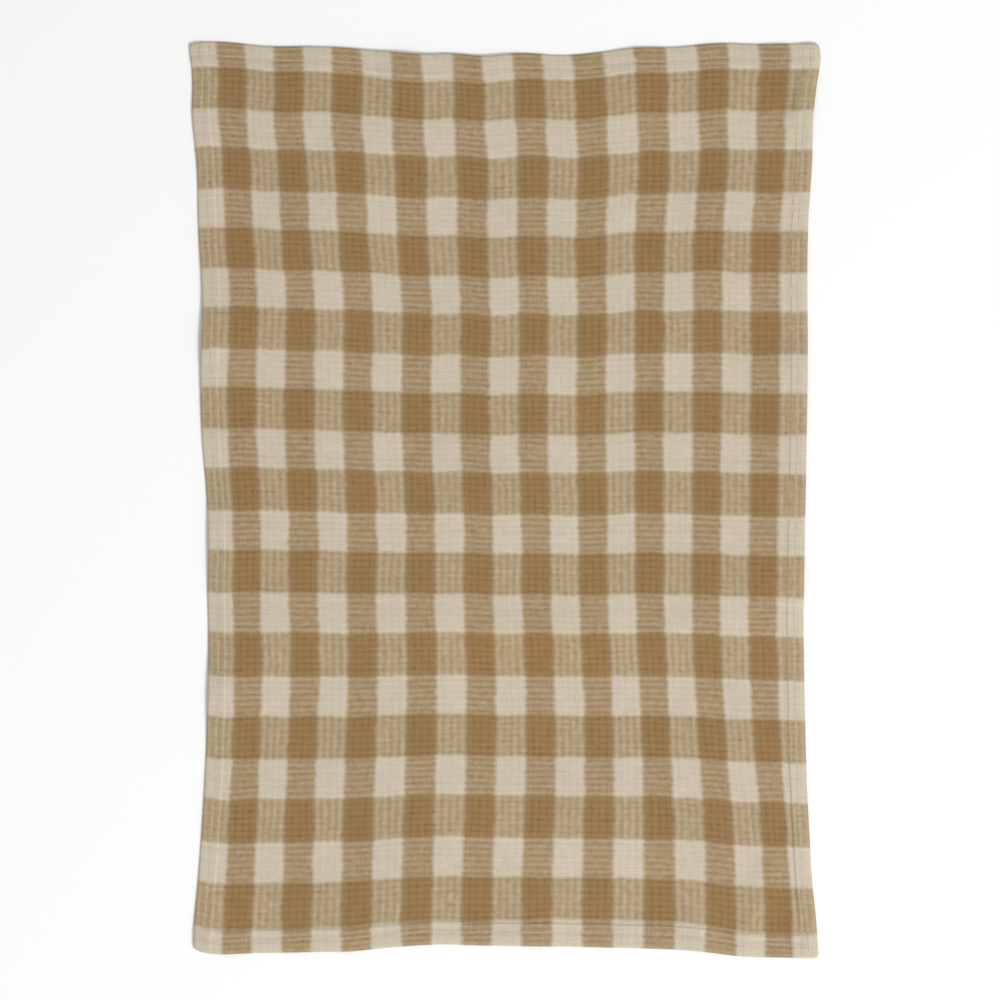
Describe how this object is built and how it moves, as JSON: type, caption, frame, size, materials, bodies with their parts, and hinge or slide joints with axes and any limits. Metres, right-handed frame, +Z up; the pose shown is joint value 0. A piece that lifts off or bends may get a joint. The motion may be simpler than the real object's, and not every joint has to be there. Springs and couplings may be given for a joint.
{
  "type": "tea towel",
  "caption": "Checked waffle-weave cotton tea towel, hemmed on all sides and lying flat with softly drawn-in, wavy edges.",
  "frame": {"origin": "on the surface under the towel, at the middle of its outline's box", "axes": "+X across the cloth, +Y along it towards its top end, +Z up out of its face"},
  "size_m": [0.4906, 0.713, 0.006],
  "materials": {
    "checked_cotton": "matt waffle-woven cotton in tan and cream checks"
  },
  "bodies": {
    "root": {"tea_towel": "checked_cotton"}
  },
  "joints": []
}
